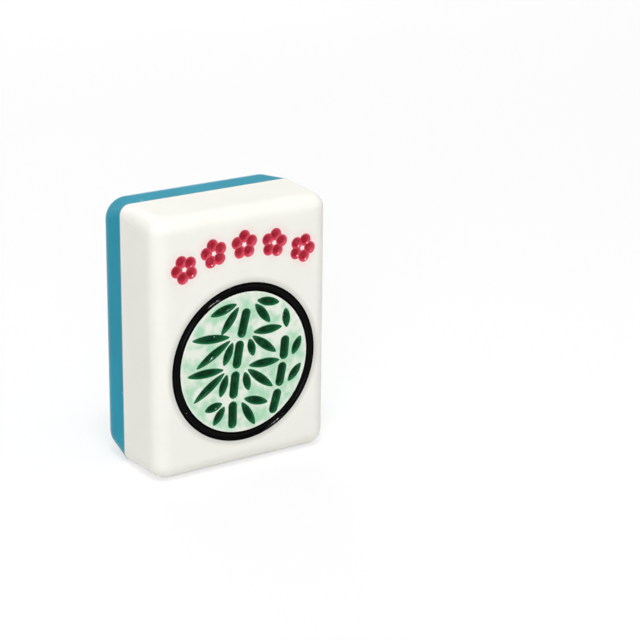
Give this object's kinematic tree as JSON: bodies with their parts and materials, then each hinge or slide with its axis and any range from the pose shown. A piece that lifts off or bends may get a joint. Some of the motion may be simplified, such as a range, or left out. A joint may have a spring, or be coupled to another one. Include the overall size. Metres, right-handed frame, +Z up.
{
  "type": "mahjong tile",
  "caption": "two-layer mahjong tile with a white face engraved and paint-filled with a ring, bamboo and blossoms, bonded to a blue back printed with a flower wreath",
  "frame": {"origin": "middle of the base, on the surface that the tile stands on", "axes": "+Z up along the tile's height, the engraved face toward -Y, the printed back toward +Y, +X to the right of someone who faces the engraved side"},
  "size_m": [0.0222, 0.013, 0.03],
  "materials": {
    "white_plastic": "polished, glossy",
    "blue_plastic": "polished, glossy",
    "clear_cement": "clear, set hard",
    "black_paint": "gloss enamel wiped flush",
    "red_paint": "gloss enamel wiped flush",
    "green_paint": "gloss enamel wiped flush",
    "cream_ink": "glossy cured ink",
    "pink_ink": "glossy cured ink",
    "purple_ink": "glossy cured ink",
    "orange_ink": "glossy cured ink",
    "magenta_ink": "glossy cured ink",
    "yellow_ink": "glossy cured ink",
    "gold_ink": "glossy cured ink",
    "leaf_ink": "glossy cured ink",
    "shade_ink": "glossy cured ink",
    "bud_ink": "glossy cured ink"
  },
  "bodies": {
    "root": {"face_layer": "white_plastic", "back_layer": "blue_plastic", "bond_film": "clear_cement", "ring_fill": "black_paint", "blossom_fill_1": "red_paint", "blossom_fill_2": "red_paint", "blossom_fill_3": "red_paint", "blossom_fill_4": "red_paint", "blossom_fill_5": "red_paint", "culm_fill_1": "green_paint", "culm_fill_2": "green_paint", "leaf_fill_1": "green_paint", "leaf_fill_2": "green_paint", "leaf_fill_3": "green_paint", "leaf_fill_4": "green_paint", "leaf_fill_5": "green_paint", "leaf_fill_6": "green_paint", "leaf_fill_7": "green_paint", "leaf_fill_8": "green_paint", "leaf_fill_9": "green_paint", "leaf_fill_10": "green_paint", "leaf_fill_11": "green_paint", "print_flower_1": "cream_ink", "print_flower_2": "pink_ink", "print_flower_3": "purple_ink", "print_flower_4": "orange_ink", "print_flower_5": "magenta_ink", "print_flower_6": "yellow_ink", "print_eyes": "gold_ink", "print_leaves_outer": "leaf_ink", "print_leaves_inner": "shade_ink", "print_buds": "bud_ink"}
  },
  "joints": []
}
